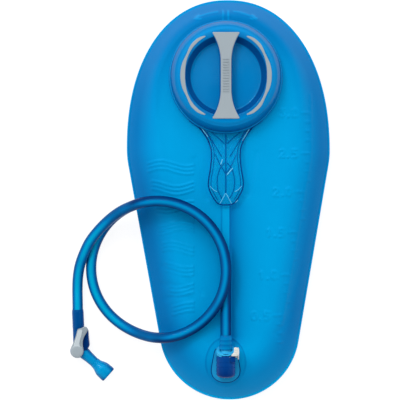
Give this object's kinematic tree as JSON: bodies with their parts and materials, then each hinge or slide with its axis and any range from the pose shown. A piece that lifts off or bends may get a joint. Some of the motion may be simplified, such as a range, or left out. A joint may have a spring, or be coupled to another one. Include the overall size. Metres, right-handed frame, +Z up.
{
  "type": "hydration bladder",
  "caption": "Flat film water bladder with a screw-cap fill port and grip, a baffle, a quick-release drinking tube, a shut-off lever and a bite valve.",
  "frame": {"origin": "on the ground under the middle of the film bag's outline", "axes": "+X across the bag, +Y along it to the fill port, +Z up from the ground the bag lies on"},
  "size_m": [0.2572, 0.399, 0.0593],
  "materials": {
    "film": "satin",
    "port_plastic": "gloss",
    "cap_plastic": "gloss",
    "grey_plastic": "satin",
    "navy_plastic": "satin",
    "white_plastic": "satin",
    "seal": "matt",
    "spring_steel": "plain",
    "tube_plastic": "gloss",
    "silicone": "satin"
  },
  "bodies": {
    "root": {"front_film": "film", "back_film": "film", "baffle_web": "film", "fill_collar": "port_plastic", "neck_thread": "port_plastic", "port_grip": "port_plastic", "exit_flange": "port_plastic", "exit_body": "navy_plastic", "poppet": "white_plastic", "poppet_seal": "seal", "poppet_spring": "spring_steel", "tube_connector": "port_plastic", "connector_o_ring": "seal", "drinking_tube": "tube_plastic", "tube_sleeve": "cap_plastic", "valve_body": "cap_plastic", "bite_valve": "silicone"},
    "cap_seal": {"cap_seal": "seal"},
    "cap": {"cap_shell": "cap_plastic", "cap_thread": "cap_plastic", "cap_grip_bar": "grey_plastic", "cap_inlay_left": "grey_plastic", "cap_inlay_right": "grey_plastic"},
    "release": {"release_button": "white_plastic", "latch_plate": "white_plastic"},
    "lever": {"valve_rotor": "white_plastic", "rotor_seals": "seal", "valve_lever": "grey_plastic"}
  },
  "joints": [
    {"name": "cap_rise", "type": "slide", "parent": "root", "child": "cap_seal", "axis": [0, 0, 1], "range_m": [0, 0.048]},
    {"name": "cap_turn", "type": "hinge", "parent": "cap_seal", "child": "cap", "pos_m": [0, 0.1208, 0.05], "axis": [0, 0, 1], "range_deg": [0, 720]},
    {"name": "release_press", "type": "slide", "parent": "root", "child": "release", "axis": [-1, 0, 0], "range_m": [0, 0.0015], "stiffness_N_per_m": 800, "springref_m": -0.001},
    {"name": "lever_turn", "type": "hinge", "parent": "root", "child": "lever", "pos_m": [-0.148, -0.1512, 0.016], "axis": [0, 0, 1], "range_deg": [0, 90]}
  ],
  "couplings": [
    {"joint": "cap_rise", "follows": "cap_turn", "m_per_rad": 0.0038197}
  ]
}
